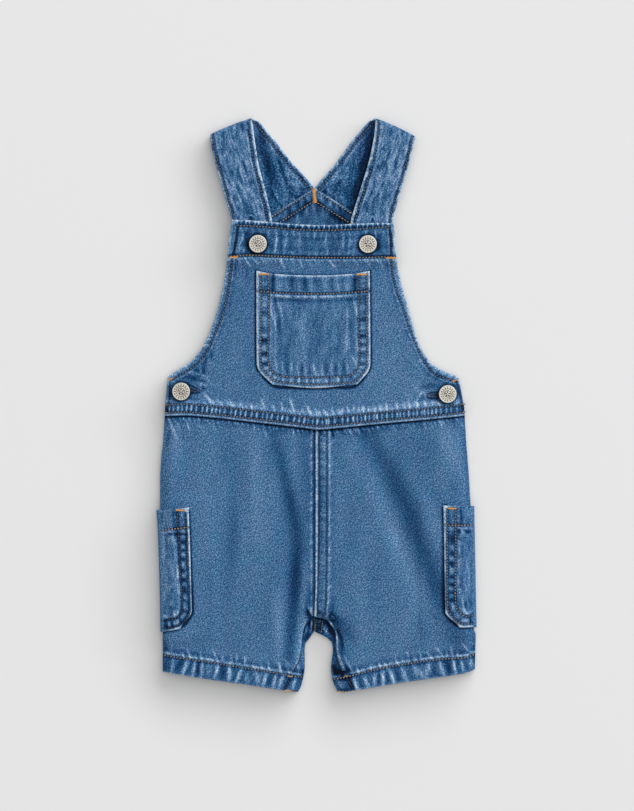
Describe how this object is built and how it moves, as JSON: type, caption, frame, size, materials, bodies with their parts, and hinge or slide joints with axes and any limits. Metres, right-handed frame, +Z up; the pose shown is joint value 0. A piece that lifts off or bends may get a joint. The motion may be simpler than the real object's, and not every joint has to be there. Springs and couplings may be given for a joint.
{
  "type": "dungaree shorts laid flat",
  "caption": "Child's denim dungaree shorts laid flat on their back: bib with a patch pocket, folded shoulder straps, metal buttons, side pockets and turned hems.",
  "frame": {"origin": "on the surface the garment lies on, under the middle of its bounding box", "axes": "+Y from the hems towards the shoulders, +Z up out of the surface through back and front, +X to the right as seen from the front"},
  "size_m": [0.25, 0.4484, 0.0096],
  "materials": {
    "denim": "mid-blue washed cotton twill, worn light on its edges",
    "denim_back": "mid-blue washed cotton twill",
    "silver": "pale silver stamped metal"
  },
  "bodies": {
    "root": {"back_bodice": "denim_back", "short_back_left": "denim_back", "short_back_right": "denim_back", "short_front_left": "denim", "short_front_right": "denim", "cargo_pocket_left": "denim", "cargo_pocket_right": "denim", "bib_front": "denim", "bib_pocket": "denim", "strap_left": "denim", "strap_right": "denim", "button_bib_left": "silver", "button_bib_right": "silver", "button_side_left": "silver", "button_side_right": "silver"}
  },
  "joints": []
}
